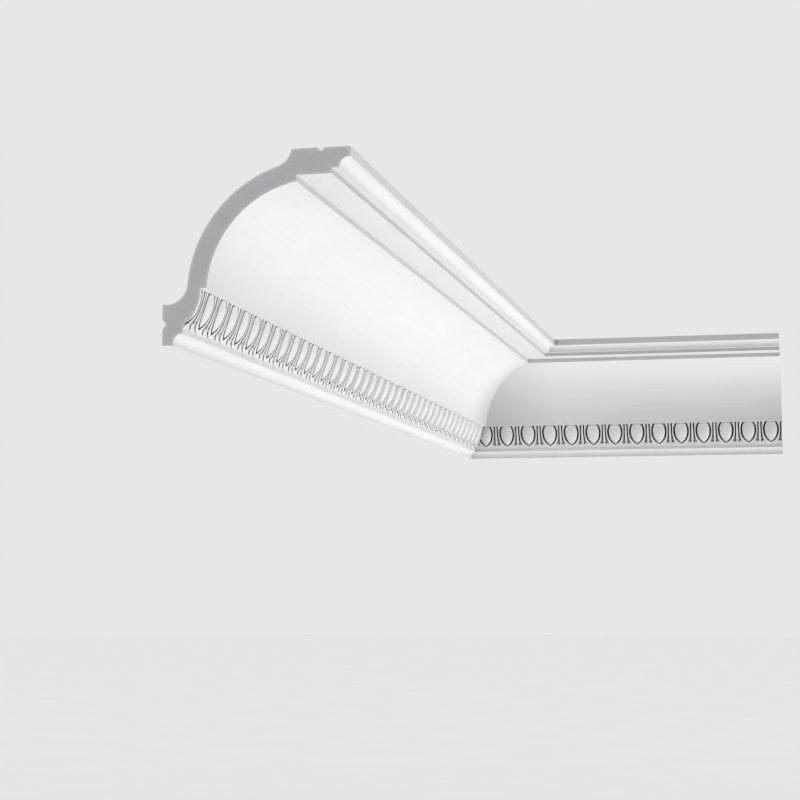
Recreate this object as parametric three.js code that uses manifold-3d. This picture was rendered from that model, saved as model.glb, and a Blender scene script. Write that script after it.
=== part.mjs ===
// A cove cornice in two lengths, mitred at the inside corner of a room, with an egg-and-dart ovolo.
// Millimetres, +Z up. The origin lies on the face of the long length that meets its wall.
import * as THREE from 'three';
import { mergeVertices } from 'three/addons/utils/BufferGeometryUtils.js';
import Module from 'manifold-3d';

const wasm = await Module();
wasm.setup();

// Overall sizes: the drop down the wall, the reach along the ceiling and the two lengths
const wallDrop = 150;
const ceilingReach = 150;
const longLength = 1278;
const shortLength = 448;
const mitreGap = 0.3;

// Members at the foot, from the wall outwards and upwards
const footWidth = 8.8;
const footEdge = 1.7;
const footCavettoRadius = 7.5;
const neckHeight = 3.8;
const ovoloRise = 31.3;
const ovoloReach = 13.3;
const ovoloBulge = 2;
const coveSillWidth = 6;

// Members at the head, from the nose inwards
const noseHeight = 7.8;
const noseLip = 0.6;
const noseCavettoRadius = 8.4;
const ledgeWidth = 5.9;
const ledgeStep = 4.3;
const soffitWidth = 28.2;
const soffitStep = 5;

// The cove between them and the wall of material behind it
const coveHollow = 18.5;
const shellThickness = 15.7;
const footFillet = 17;

// The faces that meet the wall and the ceiling, each with a groove that keys the adhesive
const wallFaceHeight = 32;
const ceilingFaceWidth = 46.5;
const keyGrooveDepth = 3;
const wallGrooveWidth = 8;
const wallGrooveBelow = 12.5;
const ceilingGrooveWidth = 6.1;
const ceilingGrooveInset = 20.2;

// The egg-and-dart band: one repeat, the egg's outline and the levels above and below the ovolo
const repeat = 30.77;
const eggTopHalfWidth = 6.1;
const eggHalfWidth = 9.5;
const eggShoulder = 10.5;
const eggHeight = 29;
const eggCurve = { headAcross: 0.6, headDown: 0.25, shoulderDown: 0.6, flankDown: 0.38, tipDown: 0.73 };
const crownWidthShare = 0.45;
const crownDropShare = 0.6;
const eggRelief = 2.3;
const eggEdgeRelief = 0.5;
const grooveHalfWidth = 1.1;
const grooveDepth = 1.2;
const rimHalfWidth = 0.9;
const rimRelief = 0.7;
const dartGrooveTop = 1.9;
const dartGrooveFoot = 2.9;
const dartRelief = 0.9;
const barbReach = 4.6;
const barbDrop = 26;
const dartDrop = 31;
const rimFootHalfWidth = 8.5;
const bandRecess = 1.6;
const bandBacking = 3.5;
const bandTuck = 1.5;

// Faces along each curve, and along one side of an egg
const coveSteps = 18;
const backSteps = 14;
const filletSteps = 6;
const cavettoSteps = 6;
const ovoloSteps = 6;
const eggSteps = 5;

// The white primer that covers every moulded face
const primer = { color: 0xf3f2ef, roughness: 0.72, metalness: 0 };

// Points on an arc in section, where x runs out from the wall and y runs down from the ceiling
function arc(centre, radius, from, to, steps) {
  const points = [];
  for (let i = 0; i <= steps; i++) {
    const angle = from + (to - from) * i / steps;
    points.push(new THREE.Vector2(Math.cos(angle), Math.sin(angle)).multiplyScalar(radius).add(centre));
  }
  return points;
}

// The direction from a centre to a point, as an angle no less than the one given
function angleOf(centre, point, least) {
  const angle = Math.atan2(point.y - centre.y, point.x - centre.x);
  return angle < least ? angle + 2 * Math.PI : angle;
}

// The ovolo's ground: a chord from its head to its foot that swells out in the middle
const neck = footWidth + footCavettoRadius;
const ovoloFoot = new THREE.Vector2(neck, wallDrop - footEdge - footCavettoRadius - neckHeight);
const ovoloHead = new THREE.Vector2(neck + ovoloReach, ovoloFoot.y - ovoloRise);
const bandDown = ovoloFoot.clone().sub(ovoloHead).normalize();
const bandOut = new THREE.Vector2(bandDown.y, -bandDown.x);
const bandHeight = ovoloFoot.distanceTo(ovoloHead);

function onOvolo(down, relief) {
  const share = 2 * down / bandHeight - 1;
  const swell = ovoloBulge * (1 - share * share);
  return ovoloHead.clone().addScaledVector(bandDown, down).addScaledVector(bandOut, swell + relief);
}

// The cove's arc through its sill and its head, and the same centre for the back
const coveSill = new THREE.Vector2(ovoloHead.x + coveSillWidth, ovoloHead.y);
const coveHead = new THREE.Vector2(
  ceilingReach - noseLip - noseCavettoRadius - ledgeWidth - soffitWidth,
  noseHeight + noseCavettoRadius + ledgeStep + soffitStep);
const halfChord = coveHead.distanceTo(coveSill) / 2;
const coveRadius = (halfChord * halfChord + coveHollow * coveHollow) / (2 * coveHollow);
const coveCentre = coveSill.clone().lerp(coveHead, 0.5).addScaledVector(
  new THREE.Vector2(coveSill.y - coveHead.y, coveHead.x - coveSill.x).normalize(), coveRadius - coveHollow);
const backRadius = coveRadius + shellThickness;

// The centre of a fillet that touches the back arc from outside, at a given offset from its centre
const filletReach = (offset) => Math.sqrt(Math.max(0, (backRadius + footFillet) ** 2 - offset * offset));

// The outline of the section, round from the wall face to the back, with the ovolo cut back for the band
function sectionOutline() {
  const wallFaceTop = wallDrop - wallFaceHeight;
  const ceilingFaceInner = ceilingReach - ceilingFaceWidth;
  const outline = [
    new THREE.Vector2(0, wallFaceTop),
    new THREE.Vector2(0, wallDrop - wallGrooveBelow - wallGrooveWidth),
    new THREE.Vector2(keyGrooveDepth, wallDrop - wallGrooveBelow - wallGrooveWidth / 2),
    new THREE.Vector2(0, wallDrop - wallGrooveBelow),
    new THREE.Vector2(0, wallDrop),
    new THREE.Vector2(footWidth, wallDrop)
  ];
  const footCavetto = new THREE.Vector2(neck, wallDrop - footEdge);
  outline.push(...arc(footCavetto, footCavettoRadius, Math.PI, 1.5 * Math.PI, cavettoSteps));
  outline.push(ovoloFoot);
  for (let i = ovoloSteps; i > 0; i--) {
    outline.push(onOvolo((bandHeight - bandRecess) * i / ovoloSteps, -bandRecess));
  }
  outline.push(new THREE.Vector2(onOvolo(0, -bandRecess).x, ovoloHead.y));
  outline.push(...arc(coveCentre, coveRadius, angleOf(coveCentre, coveSill, 0),
    angleOf(coveCentre, coveHead, 0), coveSteps));
  const soffit = coveHead.y - soffitStep;
  const ledge = soffit - ledgeStep;
  const noseCavetto = new THREE.Vector2(ceilingReach - noseLip, ledge);
  outline.push(
    new THREE.Vector2(coveHead.x, soffit),
    new THREE.Vector2(coveHead.x + soffitWidth, soffit),
    new THREE.Vector2(coveHead.x + soffitWidth, ledge));
  outline.push(...arc(noseCavetto, noseCavettoRadius, Math.PI, 1.5 * Math.PI, cavettoSteps));
  const grooveOuter = ceilingReach - ceilingGrooveInset;
  outline.push(
    new THREE.Vector2(ceilingReach, noseHeight),
    new THREE.Vector2(ceilingReach, 0),
    new THREE.Vector2(grooveOuter, 0),
    new THREE.Vector2(grooveOuter - ceilingGrooveWidth / 2, keyGrooveDepth),
    new THREE.Vector2(grooveOuter - ceilingGrooveWidth, 0),
    new THREE.Vector2(ceilingFaceInner, 0));
  const headFilletX = ceilingFaceInner - footFillet;
  const headFillet = new THREE.Vector2(headFilletX, coveCentre.y - filletReach(coveCentre.x - headFilletX));
  const footFilletY = wallFaceTop - footFillet;
  const footFilletX = coveCentre.x - filletReach(coveCentre.y - footFilletY);
  const footFilletCentre = new THREE.Vector2(footFilletX, footFilletY);
  const atCeiling = Math.asin(THREE.MathUtils.clamp(-headFillet.y / footFillet, 0, 1));
  const atWall = Math.acos(THREE.MathUtils.clamp(-footFilletX / footFillet, 0, 1));
  outline.push(...arc(headFillet, footFillet, atCeiling, angleOf(headFillet, coveCentre, 0), filletSteps));
  outline.push(...arc(coveCentre, backRadius, angleOf(coveCentre, headFillet, 0),
    angleOf(coveCentre, footFilletCentre, 0), backSteps).slice(1));
  outline.push(...arc(footFilletCentre, footFillet, angleOf(footFilletCentre, coveCentre, -Math.PI),
    atWall, filletSteps).slice(1));
  return outline;
}

// Half of the line along the bottom of the groove round an egg, from the head of the band to the tip
const besideHead = THREE.MathUtils.lerp(eggTopHalfWidth, eggHalfWidth, eggCurve.headAcross);
const belowHead = (share) => eggShoulder * share;
const belowShoulder = (share) => THREE.MathUtils.lerp(eggShoulder, eggHeight, share);
const grooveLine = new THREE.Path()
  .moveTo(eggTopHalfWidth, 0)
  .bezierCurveTo(besideHead, belowHead(eggCurve.headDown),
    eggHalfWidth, belowHead(eggCurve.shoulderDown), eggHalfWidth, eggShoulder)
  .bezierCurveTo(eggHalfWidth, belowShoulder(eggCurve.flankDown),
    eggHalfWidth / 2, belowShoulder(eggCurve.tipDown), 0, eggHeight);

// A line at a set distance outside the groove: x along the band, y down it and z the level above the ovolo
function eggLine(distance, relief) {
  const line = [];
  for (let i = 0; i <= eggSteps; i++) {
    const point = grooveLine.getPointAt(i / eggSteps);
    const tangent = grooveLine.getTangentAt(i / eggSteps);
    const outward = new THREE.Vector2(tangent.y, -tangent.x);
    if (i === eggSteps) {
      outward.set(0, Math.SQRT2);
    }
    point.addScaledVector(outward, distance);
    if (i === 0) {
      point.addScaledVector(tangent, (-bandTuck - point.y) / tangent.y);
    }
    line.push(new THREE.Vector3(point.x, point.y, relief));
  }
  return line;
}

// The crown of the egg: its edge drawn in towards the middle
function crownLine(edge) {
  return edge.map((point) => {
    const pastShoulder = Math.max(0, point.y - eggShoulder);
    const down = point.y - pastShoulder * (1 - crownDropShare);
    return new THREE.Vector3(point.x * crownWidthShare, down, eggRelief);
  });
}

// The groove beside the dart, which opens out above the barb and closes under the egg
function dartGrooveLine() {
  const line = [];
  const shaftSteps = eggSteps - 2;
  for (let i = 0; i < shaftSteps; i++) {
    const down = i === 0 ? -bandTuck : barbDrop * i / shaftSteps;
    const beside = THREE.MathUtils.lerp(dartGrooveTop, dartGrooveFoot, i / shaftSteps);
    line.push(new THREE.Vector3(repeat / 2 - beside, down, -grooveDepth));
  }
  line.push(new THREE.Vector3(repeat / 2 - barbReach, barbDrop, -grooveDepth));
  line.push(new THREE.Vector3(rimFootHalfWidth, bandHeight - bandTuck, 0));
  line.push(new THREE.Vector3(0, bandHeight - bandTuck / 2, 0));
  return line;
}

// The crest of the dart, half way between two eggs, and the foot of the band tucked into the neck below
function dartLine() {
  const line = [];
  const shaftSteps = eggSteps - 2;
  for (let i = 0; i <= shaftSteps; i++) {
    const down = i === 0 ? -bandTuck : dartDrop * i / shaftSteps;
    line.push(new THREE.Vector3(repeat / 2, down, dartRelief));
  }
  line.push(new THREE.Vector3(repeat / 2, bandHeight + bandTuck, -bandRecess - bandTuck));
  line.push(new THREE.Vector3(0, bandHeight + bandTuck, -bandRecess - bandTuck));
  return line;
}

// One repeat as lines that run down the left of an egg, round its tip and up its right
function repeatLines() {
  const edge = eggLine(-grooveHalfWidth, eggEdgeRelief);
  const halves = [
    crownLine(edge),
    edge,
    eggLine(0, -grooveDepth),
    eggLine(grooveHalfWidth + rimHalfWidth, rimRelief),
    dartGrooveLine(),
    dartLine()
  ];
  const mirrored = (point) => new THREE.Vector3(-point.x, point.y, point.z);
  return halves.map((half) => [...half.map(mirrored), ...half.slice(0, -1).reverse()]);
}

// A closed solid from corner positions and the corner numbers of its triangles
function solidFrom(positions, triangles) {
  const mesh = new wasm.Mesh({
    numProp: 3,
    vertProperties: new Float32Array(positions),
    triVerts: new Uint32Array(triangles)
  });
  return new wasm.Manifold(mesh);
}

function solidFromGeometry(geometry) {
  geometry.deleteAttribute('normal');
  geometry.deleteAttribute('uv');
  const welded = mergeVertices(geometry, 1e-4);
  return solidFrom(welded.attributes.position.array, welded.index.array);
}

// The egg-and-dart band as a carved skin with a back, for eggs at the given places along y
function bandSolid(eggPlaces) {
  const lines = repeatLines();
  const last = 2 * eggSteps;
  const corners = [];
  const numbers = new Map();
  const triangles = [];
  const numberOf = (place, point) => {
    const key = `${(place + point.x).toFixed(2)} ${point.y.toFixed(2)}`;
    if (!numbers.has(key)) {
      numbers.set(key, corners.length);
      corners.push(new THREE.Vector3(place + point.x, point.y, point.z));
    }
    return numbers.get(key);
  };
  const addFace = (a, b, c, d) => {
    triangles.push([a, b, c]);
    if (d !== c) {
      triangles.push([a, c, d]);
    }
  };
  for (const place of eggPlaces) {
    const rows = lines.map((line) => line.map((point) => numberOf(place, point)));
    for (let i = 0; i < eggSteps; i++) {
      addFace(rows[0][last - i], rows[0][i], rows[0][i + 1], rows[0][last - i - 1]);
    }
    for (let j = 0; j + 1 < rows.length; j++) {
      for (let i = 0; i < last; i++) {
        addFace(rows[j][i], rows[j + 1][i], rows[j + 1][i + 1], rows[j][i + 1]);
      }
    }
  }
  return backedSolid(corners, triangles);
}

// Gives the carved skin a back inside the moulding and walls round its edge
function backedSolid(corners, triangles) {
  const positions = [];
  const addCorner = (along, down, relief) => {
    const point = onOvolo(down, relief);
    positions.push(point.x, along, -point.y);
  };
  corners.forEach((corner) => addCorner(corner.x, corner.y, corner.z));
  corners.forEach((corner) => addCorner(corner.x, corner.y, -bandBacking));
  const count = corners.length;
  const edges = new Map();
  const faces = [];
  for (const [a, b, c] of triangles) {
    faces.push(a, b, c, a + count, c + count, b + count);
    edges.set(`${a} ${b}`, [a, b]);
    edges.set(`${b} ${c}`, [b, c]);
    edges.set(`${c} ${a}`, [c, a]);
  }
  for (const [a, b] of edges.values()) {
    if (!edges.has(`${b} ${a}`)) {
      faces.push(b, a, a + count, b, a + count, b + count);
    }
  }
  return solidFrom(positions, faces);
}

// The plain moulding, longer than it needs to be at both ends
function plainSolid(length, side) {
  const outline = sectionOutline().map((point) => new THREE.Vector2(point.x, -point.y));
  const geometry = new THREE.ExtrudeGeometry(new THREE.Shape(outline), {
    depth: length + 2 * repeat,
    bevelEnabled: false
  });
  geometry.rotateX(Math.PI / 2);
  geometry.translate(0, side < 0 ? repeat : length + repeat, 0);
  return solidFromGeometry(geometry);
}

// What is kept of it in plan: from the mitre at the corner to the square cut at the far end
function keptSolid(length, side) {
  const clear = repeat / 2;
  const mitreShift = mitreGap * Math.SQRT1_2;
  const plan = new THREE.Shape([
    new THREE.Vector2(-clear, side * (mitreShift - clear)),
    new THREE.Vector2(ceilingReach + clear, side * (mitreShift + ceilingReach + clear)),
    new THREE.Vector2(ceilingReach + clear, side * length),
    new THREE.Vector2(-clear, side * length)
  ]);
  const geometry = new THREE.ExtrudeGeometry(plan, { depth: wallDrop + 2 * clear, bevelEnabled: false });
  geometry.translate(0, 0, -wallDrop - clear);
  return solidFromGeometry(geometry);
}

// One length of cornice from the corner at y = 0 towards +y or -y. The centre of its last egg is the given
// share of a repeat from the square cut.
function corniceLength(name, length, side, eggFromEnd) {
  const eggPlaces = [];
  for (let place = length + (1 - eggFromEnd) * repeat; place > -repeat; place -= repeat) {
    eggPlaces.push(side * place);
  }
  const solid = plainSolid(length, side).add(bandSolid(eggPlaces)).intersect(keptSolid(length, side));
  const kept = solid.getMesh();
  const geometry = new THREE.BufferGeometry();
  geometry.setAttribute('position', new THREE.BufferAttribute(kept.vertProperties, 3));
  geometry.setIndex(new THREE.BufferAttribute(kept.triVerts, 1));
  const material = new THREE.MeshStandardMaterial({ ...primer, flatShading: true });
  const mesh = new THREE.Mesh(geometry, material);
  mesh.name = name;
  return mesh;
}

// The corner stands half the long length from the origin, which is level with the middle of the flat strip
// below the groove in the wall face
const cornice = new THREE.Group();
const longRun = corniceLength('long_length', longLength, -1, 0);
const shortRun = corniceLength('short_length', shortLength, 1, 0.5);
const corner = new THREE.Vector3(0, longLength / 2, wallDrop - wallGrooveBelow / 2);
longRun.position.copy(corner);
shortRun.position.copy(corner);
shortRun.rotation.z = -Math.PI / 2;
cornice.add(longRun, shortRun);

export default cornice;
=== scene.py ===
import math

import bpy
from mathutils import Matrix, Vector


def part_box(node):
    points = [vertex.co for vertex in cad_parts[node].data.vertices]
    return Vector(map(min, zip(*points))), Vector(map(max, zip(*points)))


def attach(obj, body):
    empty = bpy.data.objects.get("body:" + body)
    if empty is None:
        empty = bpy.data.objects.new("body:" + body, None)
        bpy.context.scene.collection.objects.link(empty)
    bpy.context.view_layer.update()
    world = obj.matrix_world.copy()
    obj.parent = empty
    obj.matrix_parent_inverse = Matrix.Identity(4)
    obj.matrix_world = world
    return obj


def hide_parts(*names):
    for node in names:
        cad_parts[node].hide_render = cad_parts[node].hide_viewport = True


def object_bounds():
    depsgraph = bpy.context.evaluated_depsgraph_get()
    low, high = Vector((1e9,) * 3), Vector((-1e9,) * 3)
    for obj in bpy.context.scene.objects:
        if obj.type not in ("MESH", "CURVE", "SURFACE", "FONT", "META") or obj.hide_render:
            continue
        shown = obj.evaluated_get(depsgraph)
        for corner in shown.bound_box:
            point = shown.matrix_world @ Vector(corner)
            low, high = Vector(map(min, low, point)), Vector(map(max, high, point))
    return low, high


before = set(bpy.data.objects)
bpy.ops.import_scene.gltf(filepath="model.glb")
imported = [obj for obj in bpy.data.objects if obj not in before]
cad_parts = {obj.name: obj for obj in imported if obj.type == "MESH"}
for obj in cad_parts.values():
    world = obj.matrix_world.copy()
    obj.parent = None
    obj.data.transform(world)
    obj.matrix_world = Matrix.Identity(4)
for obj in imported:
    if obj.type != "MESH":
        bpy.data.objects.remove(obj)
cad_low, cad_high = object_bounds()


# The egg-and-dart band, one repeat of it: an egg, the rim that frames it and the dart that parts it from
# the next egg. The real one comes out of the mould in one piece with the ovolo that carries it. Each is
# shaped flat, with x the height of the relief, y along the band and z up it from its middle.
mm = 0.001
repeat = 30.77 * mm
band_middle = 17 * mm
band_ground = -1.9 * mm
band_root = band_ground - 0.8 * mm
ovolo_radius = 73.286 * mm
weld_distance = 0.001 * mm
line_steps, round_steps = 16, 3


def down_band(depth):
    """How high a place lies that is this far below the band's upper edge."""
    return band_middle - depth


def only(piece):
    """Makes this piece the one that is selected."""
    bpy.ops.object.select_all(action="DESELECT")
    piece.select_set(True)
    bpy.context.view_layer.objects.active = piece


def closed_line(name, side, top, tip):
    """A closed line of edges through a left and a right point, a top and a tip, from a Bezier circle. Each
    is given as its place and the ends of its handles, above and below or left and right of it."""
    bpy.ops.object.select_all(action="DESELECT")
    bpy.ops.curve.primitive_bezier_circle_add(rotation=(math.pi / 2, 0, math.pi / 2))
    line = bpy.context.object
    line.name = name
    line.data.resolution_u = line_steps
    left_point, top_point, right_point, tip_point = line.data.splines[0].bezier_points
    for point in line.data.splines[0].bezier_points:
        point.handle_left_type = point.handle_right_type = "FREE"
    across, height, above, below = side
    left_point.co = (-across, height, 0)
    left_point.handle_left = (-across, below, 0)
    left_point.handle_right = (-across, above, 0)
    right_point.co = (across, height, 0)
    right_point.handle_left = (across, above, 0)
    right_point.handle_right = (across, below, 0)
    top_height, top_reach = top
    top_point.co = (0, top_height, 0)
    top_point.handle_left = (-top_reach, top_height, 0)
    top_point.handle_right = (top_reach, top_height, 0)
    tip_height, tip_reach, tip_above = tip
    tip_point.co = (0, tip_height, 0)
    tip_point.handle_left = (tip_reach, tip_above, 0)
    tip_point.handle_right = (-tip_reach, tip_above, 0)
    bpy.ops.object.convert(target="MESH")
    bpy.ops.object.transform_apply(location=True, rotation=True, scale=True)
    return bpy.context.object


def take_to_root():
    """Closes the lines in edit mode for good, and moves them down to where the relief starts."""
    bpy.ops.mesh.select_all(action="SELECT")
    bpy.ops.mesh.remove_doubles(threshold=weld_distance)
    bpy.ops.transform.translate(value=(band_root, 0, 0))


def raise_by(height):
    """Extrudes what is selected, out of the ground."""
    bpy.ops.mesh.extrude_region_move(TRANSFORM_OT_translate={"value": (height, 0, 0)})


def round_over(radius):
    """Rounds the edges round the faces that are selected."""
    bpy.ops.mesh.region_to_loop()
    bpy.ops.mesh.bevel(offset=radius, segments=round_steps, affect="EDGES")


def close_shape():
    """Turns every face outwards and leaves edit mode."""
    bpy.ops.mesh.select_all(action="SELECT")
    bpy.ops.mesh.normals_make_consistent(inside=False)
    bpy.ops.object.mode_set(mode="OBJECT")


# The egg: a straight wall out of the ground and a dome on it, drawn in ring by ring
round_handle = 0.5523
egg_shoulder = 10.5 * mm
side_fullness, tip_across, tip_fullness = 0.5, 0.6, 0.81


def egg_line(name, half_width, top, tip):
    """An egg's outline: widest at the shoulder, round above it and drawn in to a tip below."""
    return closed_line(
        name,
        side=(half_width, down_band(egg_shoulder),
              down_band(egg_shoulder - round_handle * (egg_shoulder - top)),
              down_band(egg_shoulder + side_fullness * (tip - egg_shoulder))),
        top=(down_band(top), round_handle * half_width),
        tip=(down_band(tip), tip_across * half_width,
             down_band(egg_shoulder + tip_fullness * (tip - egg_shoulder))))


egg_half_width, egg_top, egg_tip = 8.4 * mm, -2.5 * mm, 28.3 * mm
egg_wall_top, egg_dome = 0.1 * mm, 2.25 * mm
dome_rings, dome_turn = 9, math.radians(85)
egg_middle = Vector((0, 0, down_band(12 * mm)))
egg = egg_line("egg", egg_half_width, egg_top, egg_tip)
bpy.ops.object.mode_set(mode="EDIT")
take_to_root()
bpy.ops.mesh.edge_face_add()
raise_by(egg_wall_top - band_root)
drawn_in = 1
for ring in range(1, dome_rings + 1):
    turn = dome_turn * ring / dome_rings
    before = dome_turn * (ring - 1) / dome_rings
    raise_by(egg_dome * (math.sin(turn) - math.sin(before)))
    share = math.cos(turn) / drawn_in
    drawn_in = math.cos(turn)
    bpy.ops.transform.resize(value=(1, share, share), center_override=egg_middle)
close_shape()

# The rim: a flat raised band between two lines, its two edges rounded over
rim_top, rim_round = 0.7 * mm, 0.4 * mm
inner_half_width, inner_top, inner_tip = 10.8 * mm, -4 * mm, 30.6 * mm
outer_half_width, outer_shoulder, outer_side_handle = 12.4 * mm, 9 * mm, 25 * mm
outer_top, outer_tip, outer_tip_across, outer_tip_handle = -7 * mm, 33.6 * mm, 9.5 * mm, 30.5 * mm
rim_inside = egg_line("rim_inside", inner_half_width, inner_top, inner_tip)
rim = closed_line(
    "rim",
    side=(outer_half_width, down_band(outer_shoulder), down_band(outer_top), down_band(outer_side_handle)),
    top=(down_band(outer_top), outer_half_width),
    tip=(down_band(outer_tip), outer_tip_across, down_band(outer_tip_handle)))
rim_inside.select_set(True)
bpy.ops.object.join()
bpy.ops.object.mode_set(mode="EDIT")
take_to_root()
bpy.ops.mesh.bridge_edge_loops()
raise_by(rim_top - band_root)
round_over(rim_round)
close_shape()

# The dart: a shaft that widens downwards and a head with two barbs
dart_top, dart_round, shaft_cuts = 0.9 * mm, 0.4 * mm, 8
shaft_head, shaft_foot, shaft_end = -4 * mm, 23 * mm, 28.8 * mm
shaft_head_half, shaft_foot_half, shaft_end_half = 1 * mm, 1.6 * mm, 1.4 * mm
barb_half, barb_above, barb_below = 4.8 * mm, 26.2 * mm, 27.2 * mm
dart_tip = 33 * mm
dart_side = [
    (shaft_head_half, shaft_head), (shaft_foot_half, shaft_foot), (shaft_end_half, shaft_end),
    (barb_half, barb_above), (barb_half, barb_below)]
corners = dart_side + [(0, dart_tip)] + [(-across, depth) for across, depth in reversed(dart_side)]
bpy.ops.object.select_all(action="DESELECT")
bpy.ops.mesh.primitive_circle_add(vertices=len(corners), radius=barb_half, fill_type="NGON")
dart = bpy.context.object
dart.name = "dart"
for vertex, (across, depth) in zip(dart.data.vertices, corners):
    vertex.co = (band_root, across + repeat / 2, down_band(depth))
bpy.ops.object.mode_set(mode="EDIT")
bpy.ops.mesh.select_all(action="SELECT")
raise_by(dart_top - band_root)
round_over(dart_round)
for cut in range(1, shaft_cuts):
    level = down_band(shaft_head + (shaft_foot - shaft_head) * cut / shaft_cuts)
    bpy.ops.mesh.select_all(action="SELECT")
    bpy.ops.mesh.bisect(plane_co=(0, 0, level), plane_no=(0, 0, 1))
close_shape()

# One repeat of all three, bent to the ovolo's curve
only(egg)
rim.select_set(True)
dart.select_set(True)
bpy.ops.object.join()
band = bpy.context.object
band.name = "band"
bpy.ops.object.modifier_add(type="SIMPLE_DEFORM")
bend = band.modifiers[-1]
bend.deform_method = "BEND"
bend.deform_axis = "Y"
bend.angle = -band.dimensions.z / ovolo_radius
bpy.ops.object.modifier_apply(modifier=bend.name)


# A stock bar of the moulding, 2 m long and square at both ends. It is rigid polyurethane foam, poured into
# a closed mould that gives it its section, its carved band and its hard skin at once. The section is
# drawn as (out from the wall, up from the ceiling), so what hangs below has a minus sign.
bar_repeats = 65
bar_length = bar_repeats * repeat
drop, reach = 150 * mm, 150 * mm
foot_width, foot_edge, foot_cavetto = 8.8 * mm, 1.7 * mm, 7.5 * mm
neck_height = 3.8 * mm
ovolo_rise, ovolo_reach, ground_bulge = 31.3 * mm, 13.3 * mm, 0.7 * mm
sill_width = 6 * mm
nose_height, nose_lip, nose_cavetto = 7.8 * mm, 0.6 * mm, 8.4 * mm
ledge_width, ledge_step = 5.9 * mm, 4.3 * mm
soffit_width, soffit_step = 28.2 * mm, 5 * mm
cove_hollow, shell, back_fillet = 18.5 * mm, 15.7 * mm, 17 * mm
wall_face, ceiling_face = 32 * mm, 46.5 * mm
key_depth, wall_key_width, wall_key_below = 3 * mm, 8 * mm, 12.5 * mm
ceiling_key_width, ceiling_key_inset = 6.1 * mm, 20.2 * mm
cavetto_steps, ground_steps, cove_steps, fillet_steps, back_steps = 12, 16, 48, 8, 40

neck = foot_width + foot_cavetto
ovolo_foot = Vector((neck, -drop + foot_edge + foot_cavetto + neck_height))
ovolo_head = ovolo_foot + Vector((ovolo_reach, ovolo_rise))
half_band = (ovolo_head - ovolo_foot).length / 2
band_up = (ovolo_head - ovolo_foot).normalized()
band_out = Vector((band_up.y, -band_up.x))
ovolo_centre = (ovolo_head + ovolo_foot) / 2 - band_out * math.sqrt(ovolo_radius ** 2 - half_band ** 2)
ground_head = Vector((ovolo_head.x + band_ground / band_out.x, ovolo_head.y))
half_ground = (ground_head - ovolo_foot).length / 2
ground_radius = (half_ground ** 2 + ground_bulge ** 2) / (2 * ground_bulge)
ground_up = (ground_head - ovolo_foot).normalized()
ground_out = Vector((ground_up.y, -ground_up.x))
ground_centre = (ground_head + ovolo_foot) / 2 - ground_out * (ground_radius - ground_bulge)
cove_sill = ovolo_head + Vector((sill_width, 0))
cove_head = Vector((
    reach - nose_lip - nose_cavetto - ledge_width - soffit_width,
    -nose_height - nose_cavetto - ledge_step - soffit_step))
half_cove = (cove_head - cove_sill).length / 2
cove_radius = (half_cove ** 2 + cove_hollow ** 2) / (2 * cove_hollow)
cove_up = (cove_head - cove_sill).normalized()
cove_out = Vector((cove_up.y, -cove_up.x))
cove_centre = (cove_head + cove_sill) / 2 + cove_out * (cove_radius - cove_hollow)
back_radius = cove_radius + shell


def turn_between(centre, start, end):
    """The angle from one point to another round a centre, taken the short way, plus from x towards z."""
    return math.remainder(
        math.atan2(*reversed(end - centre)) - math.atan2(*reversed(start - centre)), 2 * math.pi)


def draw_to(out, up):
    """Draws the edge that is selected on to the next corner of the section."""
    bpy.ops.mesh.extrude_region_move(TRANSFORM_OT_translate={"value": (out - pen.x, 0, up - pen.y)})
    pen.xy = out, up


def curve_to(out, up, centre, steps):
    """Spins the edge that is selected to the next corner, round a centre."""
    end = Vector((out, up))
    bpy.ops.mesh.spin(
        steps=steps, angle=turn_between(centre, pen, end), center=(centre.x, 0, centre.y), axis=(0, 1, 0))
    pen.xy = out, up


# It starts as the flat strip under the groove in the wall face, whose lower edge is drawn round the section
bpy.ops.object.select_all(action="DESELECT")
bpy.ops.mesh.primitive_plane_add(size=1, rotation=(0, math.pi / 2, 0))
bar = bpy.context.object
bar.name = "bar"
strip_middle = -drop + wall_key_below / 2
bar.location = (0, bar_length / 2, strip_middle)
bar.scale = (wall_key_below, bar_length + 2 * repeat, 1)
bpy.ops.object.transform_apply(location=True, rotation=True, scale=True)
pen = Vector((0, -drop))
bpy.ops.object.mode_set(mode="EDIT")
bpy.ops.mesh.select_all(action="DESELECT")
bpy.ops.object.mode_set(mode="OBJECT")
for edge in bar.data.edges:
    edge.select = all(bar.data.vertices[corner].co.z < strip_middle for corner in edge.vertices)
bpy.ops.object.mode_set(mode="EDIT")
bpy.ops.mesh.select_mode(type="EDGE")
draw_to(foot_width, -drop)
draw_to(foot_width, -drop + foot_edge)
curve_to(neck, -drop + foot_edge + foot_cavetto, Vector((neck, -drop + foot_edge)), cavetto_steps)
draw_to(neck, ovolo_foot.y)
curve_to(*ground_head, ground_centre, ground_steps)
draw_to(*cove_sill)
curve_to(*cove_head, cove_centre, cove_steps)
draw_to(cove_head.x, cove_head.y + soffit_step)
draw_to(cove_head.x + soffit_width, cove_head.y + soffit_step)
draw_to(cove_head.x + soffit_width, cove_head.y + soffit_step + ledge_step)
draw_to(reach - nose_lip - nose_cavetto, pen.y)
curve_to(reach - nose_lip, -nose_height, Vector((reach - nose_lip, pen.y)), cavetto_steps)
draw_to(reach, -nose_height)
draw_to(reach, 0)
draw_to(reach - ceiling_key_inset, 0)
draw_to(reach - ceiling_key_inset - ceiling_key_width / 2, -key_depth)
draw_to(reach - ceiling_key_inset - ceiling_key_width, 0)
draw_to(reach - ceiling_face, 0)

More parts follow.
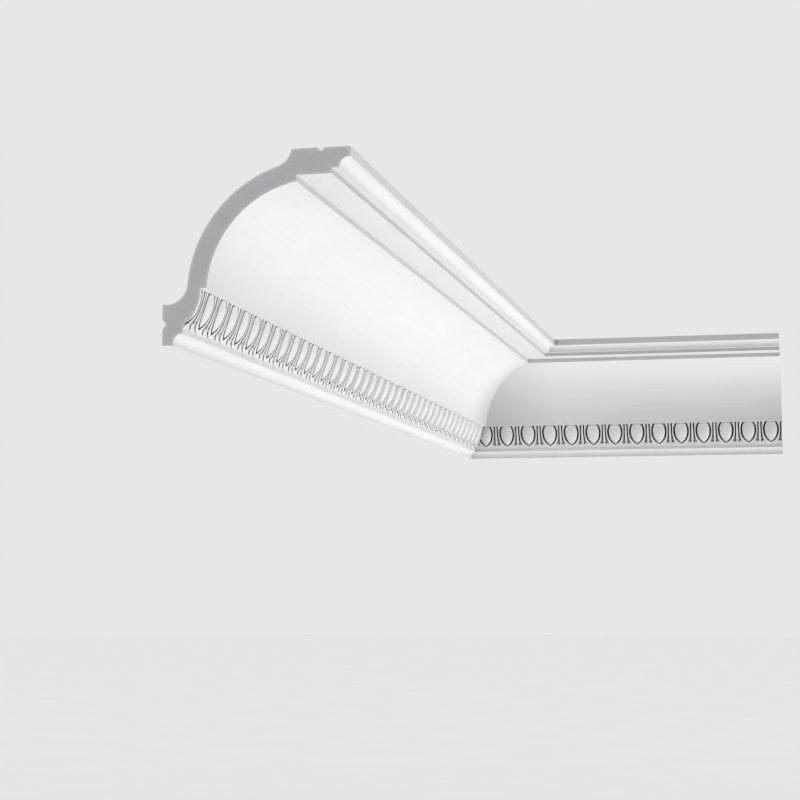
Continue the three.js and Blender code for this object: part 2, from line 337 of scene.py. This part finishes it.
# The back: a fillet off each flat face, with the cove's curve between them
fillet_reach = back_radius + back_fillet
head_fillet = Vector((reach - ceiling_face - back_fillet, 0))
head_fillet.y = cove_centre.y + math.sqrt(fillet_reach ** 2 - (cove_centre.x - head_fillet.x) ** 2)
foot_fillet = Vector((0, -drop + wall_face + back_fillet))
foot_fillet.x = cove_centre.x - math.sqrt(fillet_reach ** 2 - (cove_centre.y - foot_fillet.y) ** 2)
draw_to(head_fillet.x + math.sqrt(back_fillet ** 2 - head_fillet.y ** 2), 0)
curve_to(*head_fillet.lerp(cove_centre, back_fillet / fillet_reach), head_fillet, fillet_steps)
curve_to(*foot_fillet.lerp(cove_centre, back_fillet / fillet_reach), cove_centre, back_steps)
curve_to(0, foot_fillet.y - math.sqrt(back_fillet ** 2 - foot_fillet.x ** 2), foot_fillet, fillet_steps)
draw_to(0, -drop + wall_face)
draw_to(0, -drop + wall_key_below + wall_key_width)
draw_to(key_depth, -drop + wall_key_below + wall_key_width / 2)
draw_to(0, -drop + wall_key_below)
bpy.ops.mesh.select_all(action="SELECT")
bpy.ops.mesh.remove_doubles(threshold=weld_distance)
bpy.ops.mesh.fill_holes(sides=0)
close_shape()

# The band is turned to the ovolo's slope, laid on it and repeated, and melts into the bar
only(band)
band.rotation_euler.y = math.atan2(-band_out.y, band_out.x)
ovolo_middle = ovolo_centre + band_out * ovolo_radius
band.location = (ovolo_middle.x, 0, ovolo_middle.y)
bpy.ops.object.transform_apply(location=True, rotation=True, scale=True)
bpy.ops.object.modifier_add(type="ARRAY")
row = band.modifiers[-1]
row.count = bar_repeats + 1
row.use_relative_offset = False
row.use_constant_offset = True
row.constant_offset_displace = (0, repeat, 0)
bpy.ops.object.modifier_apply(modifier=row.name)


def combine(piece, other, operation):
    """Joins another solid to the piece, or cuts it out of the piece, and uses the other one up."""
    only(piece)
    bpy.ops.object.modifier_add(type="BOOLEAN")
    step = piece.modifiers[-1]
    step.operation = operation
    step.solver = "MANIFOLD"
    step.object = other
    bpy.ops.object.modifier_apply(modifier=step.name)
    only(other)
    bpy.ops.object.delete()


combine(bar, band, "UNION")


# The long length, along the left wall: a piece of the stock bar, sawn square at the end that faces the
# room and to a mitre at the corner. It is primed white at the works, glued to wall and ceiling along the
# two flat faces, and shows its bare foam where it was sawn.
def length_of(name):
    """A copy of the stock bar, with a mesh of its own."""
    only(bar)
    bpy.ops.object.duplicate()
    piece = bpy.context.object
    piece.name = piece.data.name = name
    return piece


def saw(piece, place, towards):
    """Saws the piece through at a place and takes off what lies towards one side of it."""
    waste = 3
    bpy.ops.object.select_all(action="DESELECT")
    bpy.ops.mesh.primitive_cube_add(
        size=waste, location=place + towards * waste / 2,
        rotation=towards.to_track_quat("X", "Z").to_euler())
    combine(piece, bpy.context.object, "DIFFERENCE")


def prime(piece, primer, foam):
    """Gives the whole piece its primer, and room for the foam of its sawn faces."""
    piece.data.materials.clear()
    piece.data.materials.append(primer)
    piece.data.materials.append(foam)
    only(piece)
    bpy.ops.object.mode_set(mode="EDIT")
    bpy.ops.mesh.select_all(action="SELECT")
    piece.active_material_index = 0
    bpy.ops.object.material_slot_assign()
    bpy.ops.object.mode_set(mode="OBJECT")


def show_foam(piece, place, towards):
    """Gives the sawn face at a place the colour of the foam."""
    same_way, near = 0.999, 0.01 * mm
    only(piece)
    bpy.ops.object.mode_set(mode="EDIT")
    bpy.ops.mesh.select_mode(type="FACE")
    bpy.ops.mesh.select_all(action="DESELECT")
    bpy.ops.object.mode_set(mode="OBJECT")
    for face in piece.data.polygons:
        face.select = face.normal.dot(towards) > same_way and abs((face.center - place).dot(towards)) < near
    bpy.ops.object.mode_set(mode="EDIT")
    piece.active_material_index = 1
    bpy.ops.object.material_slot_assign()
    bpy.ops.object.mode_set(mode="OBJECT")


class Socket:
    """A socket of a shader's node tree that is worked with as a number is."""

    def __init__(self, tree, socket):
        self.tree, self.socket = tree, socket

    def node(self, kind, *inputs, output=0, **settings):
        """Adds a node with its settings, and gives it values or links in the order of its sockets."""
        node = self.tree.nodes.new(kind)
        for setting, value in settings.items():
            setattr(node, setting, value)
        for place, value in enumerate(inputs):
            if isinstance(value, Socket):
                self.tree.links.new(value.socket, node.inputs[place])
            elif value is not None:
                node.inputs[place].default_value = value
        return Socket(self.tree, node.outputs[output])

    def maths(self, operation, *inputs):
        return self.node("ShaderNodeMath", *inputs, operation=operation)

    def __add__(self, other):
        return self.maths("ADD", self, other)

    def __sub__(self, other):
        return self.maths("SUBTRACT", self, other)

    def __rsub__(self, other):
        return self.maths("SUBTRACT", other, self)

    def __mul__(self, other):
        return self.maths("MULTIPLY", self, other)

    __radd__, __rmul__ = __add__, __mul__

    def stretched(self, scale):
        """These coordinates with a pattern's size along x, y and z changed."""
        return self.node("ShaderNodeMapping", self, None, None, scale)

    def noise(self, scale, detail):
        """Cloudy noise from 0 to 1."""
        return self.node("ShaderNodeTexNoise", self, None, scale, detail)

    def hidden(self, distance, **settings):
        """From 0 in the open to 1 where the surface is shut in on all sides within this distance."""
        return 1 - self.node("ShaderNodeAmbientOcclusion", None, distance, output=1, samples=16, **settings)

    def between(self, low, high):
        """0 below the low value, 1 above the high one and smooth between them."""
        return self.node("ShaderNodeMapRange", self, low, high, interpolation_type="SMOOTHSTEP")

    def mixed(self, low, high):
        """From the first colour at 0 to the second at 1."""
        mix = self.tree.nodes.new("ShaderNodeMix")
        mix.data_type = "RGBA"
        self.tree.links.new(self.socket, mix.inputs["Factor"])
        for name, colour in (("A", low), ("B", high)):
            place = next(s for s in mix.inputs if s.name == name and s.type == "RGBA")
            if isinstance(colour, Socket):
                self.tree.links.new(colour.socket, place)
            else:
                place.default_value = (*colour, 1)
        return Socket(self.tree, next(s for s in mix.outputs if s.type == "RGBA"))

    def bump(self, distance, strength):
        """A normal from this height, where 1 stands for the distance."""
        return self.node("ShaderNodeBump", strength, distance, None, self)


def new_finish(name, **constants):
    """A material, its shader and the coordinates on the object that its patterns read."""
    finish = bpy.data.materials.new(name)
    finish.use_nodes = True
    shader = finish.node_tree.nodes["Principled BSDF"]
    for socket, value in constants.items():
        shader.inputs[socket.replace("_", " ")].default_value = value
    place = finish.node_tree.nodes.new("ShaderNodeTexCoord").outputs["Object"]
    return finish, shader, Socket(finish.node_tree, place)


def feed(shader, **sockets):
    """Links patterns to the shader's sockets."""
    for name, value in sockets.items():
        value.tree.links.new(value.socket, shader.inputs[name.replace("_", " ")])


groove_width, step_height, corner_reach = 3.5 * mm, 7 * mm, 130 * mm
band_low, band_high = cad_high.z + ovolo_foot.y, cad_high.z + ovolo_head.y


def primed(name, along):
    """White primer on the hard skin: dull, with a fine orange peel and faint streaks along the moulding. It
    has painted shade: grey on the upright sides of the sharp steps, grey in the creases and near black down
    in the grooves of the band, and grey near the inside corner, where the other length comes near."""
    # The third colour on the next line and all three on the line after it are painted shade: for the step
    # sides, the inside corner, the band's creases and its grooves.
    white, clouded, step_shade = (0.83, 0.83, 0.826), (0.795, 0.797, 0.795), (0.55, 0.555, 0.56)
    corner_shade, crease_shade, groove_shade = (0.645, 0.645, 0.645), (0.74, 0.745, 0.75), (0.01, 0.01, 0.01)
    streaks_along, streaks_across, cloud_scale, peel_scale = 12, 420, 9, 1500
    finish, shader, place = new_finish(name, IOR=1.45, Specular_IOR_Level=0.25)
    stretch = tuple(streaks_along if axis == along else streaks_across for axis in "xyz")
    streaks = place.stretched(stretch).noise(1, 3)
    clouds = place.noise(cloud_scale, 4)
    peel = place.noise(peel_scale, 2)
    height = place.node("ShaderNodeSeparateXYZ", place, output=2)
    carved = height.between(band_low, band_low + mm) * (1 - height.between(band_high - mm, band_high))
    true_normal = place.node("ShaderNodeNewGeometry", output=3)
    tilt = true_normal.node("ShaderNodeSeparateXYZ", true_normal, output=2)
    upright = 1 - tilt.maths("ABSOLUTE", tilt).between(0.01, 0.04)
    shut_in = place.hidden(corner_reach) - place.hidden(corner_reach, only_local=True)
    recess = place.hidden(step_height)
    hollow = place.hidden(groove_width)
    paint = (streaks * 0.5 + clouds * 0.5).between(0.35, 0.7).mixed(white, clouded)
    # Painted shade: grey near the inside corner, where the other length shuts out light.
    corner_shaded = shut_in.between(0.02, 0.4).mixed(paint, corner_shade)
    # Painted shade: grey on the upright sides of the sharp steps, where the step above shuts out light.
    step_shaded = (recess.between(0.02, 0.14) * upright * (1 - carved)).mixed(corner_shaded, step_shade)
    # Painted shade: grey in the creases of the carved band.
    shaded = (hollow.between(0.15, 0.4) * carved).mixed(step_shaded, crease_shade)
    # Painted shade: near black down in the grooves of the band.
    feed(
        shader,
        Base_Color=(hollow.between(0.28, 0.5) * carved).mixed(shaded, groove_shade),
        Roughness=streaks * 0.16 + 0.5,
        Normal=(peel + streaks * 0.4).bump(0.06 * mm, 0.5))
    return finish


# The sawn face of the foam: even grey with fine open cells, inside a white line where the hard skin and
# its primer are cut through
even, cell, skin = (0.875, 0.88, 0.89), (0.765, 0.77, 0.78), (0.95, 0.95, 0.945)
skin_reach, cell_scale, cloud_scale = 3 * mm, 1400, 60
sawn_foam, shader, place = new_finish("sawn_foam", IOR=1.4, Specular_IOR_Level=0.15)
cells = place.node("ShaderNodeTexVoronoi", place, None, cell_scale)
clouds = place.noise(cloud_scale, 4)
sawn = (cells * 0.7 + clouds * 0.4).between(0.25, 0.75).mixed(cell, even)
feed(
    shader,
    Base_Color=place.hidden(skin_reach, inside=True).between(0.12, 0.2).mixed(sawn, skin),
    Roughness=clouds * 0.1 + 0.85,
    Normal=cells.bump(0.2 * mm, 0.5))

# The length itself: cut, finished and put in its place
long_low, long_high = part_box("long_length")
mitre_gap = 0.03 * mm
mitre_shift = mitre_gap * math.sqrt(0.5)
smooth_below = math.radians(32)
long_length = length_of("long_moulding")
square_end, square_towards = Vector((0, 0, 0)), Vector((0, -1, 0))
mitre = Vector((0, long_high.y - long_low.y - mitre_shift, 0))
mitre_towards = Vector((1, 1, 0)).normalized()
saw(long_length, square_end, square_towards)
saw(long_length, mitre, mitre_towards)
prime(long_length, primed("primer_long", "y"), sawn_foam)
show_foam(long_length, square_end, square_towards)
show_foam(long_length, mitre, mitre_towards)
long_length.location = (0, long_low.y, long_high.z)
bpy.ops.object.transform_apply(location=True, rotation=True, scale=True)
bpy.ops.object.shade_smooth_by_angle(angle=smooth_below)
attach(long_length, "root")
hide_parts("long_length")

# The short length, along the back wall: sawn from the same bar, to a mitre that meets the long one's and
# square through the middle of a dart at its right end. It is primed and glued up as the long one is, and
# the joint between them is filled.
short_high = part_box("short_length")[1]
repeats_to_end = 56.5
short_end = repeats_to_end * repeat
short_start = short_end - short_high.x
short_length = length_of("short_moulding")
square_end, square_towards = Vector((0, short_end, 0)), Vector((0, 1, 0))
mitre = Vector((0, short_start + mitre_shift, 0))
mitre_towards = Vector((1, -1, 0)).normalized()
saw(short_length, square_end, square_towards)
saw(short_length, mitre, mitre_towards)
prime(short_length, primed("primer_short", "x"), sawn_foam)
show_foam(short_length, square_end, square_towards)
show_foam(short_length, mitre, mitre_towards)
short_length.location = (-short_start, long_high.y, short_high.z)
short_length.rotation_euler.z = math.radians(-90)
bpy.ops.object.transform_apply(location=True, rotation=True, scale=True)
bpy.ops.object.shade_smooth_by_angle(angle=smooth_below)
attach(short_length, "root")
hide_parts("short_length")

# The rest of the bar isn't part of the cornice
only(bar)
bpy.ops.object.delete()

# The floor under it, as far down as in a high room, pale, and fading into the white surround
floor_drop, floor_reach, floor_corners = 4, 150, 96
fade_start, fade_end = 6, 40
dark, glow = (0, 0, 0), (0.11, 0.11, 0.11)
bpy.ops.object.select_all(action="DESELECT")
bpy.ops.mesh.primitive_circle_add(
    vertices=floor_corners, radius=floor_reach, fill_type="NGON", location=(0, 0, long_high.z - floor_drop))
floor = bpy.context.object
floor.name = "floor"
pale, shader, place = new_finish("pale_floor", Specular_IOR_Level=0.1, Emission_Strength=1)
away = place.node("ShaderNodeVectorMath", place, operation="LENGTH", output=1)
feed(
    shader,
    Base_Color=place.noise(0.6, 3).between(0.3, 0.7).mixed((0.86, 0.86, 0.86), (0.88, 0.88, 0.875)),
    Roughness=place.noise(3, 2) * 0.1 + 0.8,
    Emission_Color=away.between(fade_start, fade_end).mixed(dark, glow))
floor.data.materials.append(pale)

# Soft light: a white surround, a high lamp that the floor throws back up, and a wide lamp from the right
scene = bpy.context.scene
scene.view_settings.view_transform = "Standard"
scene.world = bpy.data.worlds.new("surround")
scene.world.use_nodes = True
tree = scene.world.node_tree
background = tree.nodes["Background"]
surround_light, surround_shown = 0.18, 0.8
seen = Socket(tree, tree.nodes.new("ShaderNodeLightPath").outputs["Is Camera Ray"])
strength = seen * (surround_shown - surround_light) + surround_light
tree.links.new(strength.socket, background.inputs["Strength"])
background.inputs["Color"].default_value = (1, 1, 1, 1)

high_lamp_place, high_lamp_strength, high_lamp_angle = (0, 0, 2), 1.95, math.radians(30)
bpy.ops.object.light_add(type="SUN", rotation=(0, 0, 0), location=high_lamp_place)
high_lamp = bpy.context.object
high_lamp.data.energy = high_lamp_strength
high_lamp.data.angle = high_lamp_angle

side_lamp_place, side_lamp_aim = (2.7, 0.35, -2.1), Vector((0, 0, 0.05))
side_lamp_size, side_lamp_power, side_lamp_spread = 2.5, 16.5, math.radians(75)
bpy.ops.object.light_add(type="AREA", location=side_lamp_place)
side_lamp = bpy.context.object
side_lamp.data.size = side_lamp_size
side_lamp.data.energy = side_lamp_power
side_lamp.data.spread = side_lamp_spread
side_lamp.visible_camera = False
side_lamp.rotation_euler = (side_lamp_aim - side_lamp.location).to_track_quat("-Z", "Y").to_euler()

# The camera, where the photograph was taken from: below the moulding and looking up at it a little
picture_side, focal_pixels, film_width, sight = 800, 1850.6, 36, 400
camera_place, camera_rise, camera_turn = (0.4913, -1.9848, -0.1944), 5.871, 12.669
bpy.ops.object.camera_add(
    location=camera_place, rotation=(math.radians(90 + camera_rise), 0, math.radians(camera_turn)))
camera = bpy.context.object
camera.data.sensor_width = film_width
camera.data.lens = focal_pixels / picture_side * film_width
camera.data.clip_end = sight
scene.camera = camera
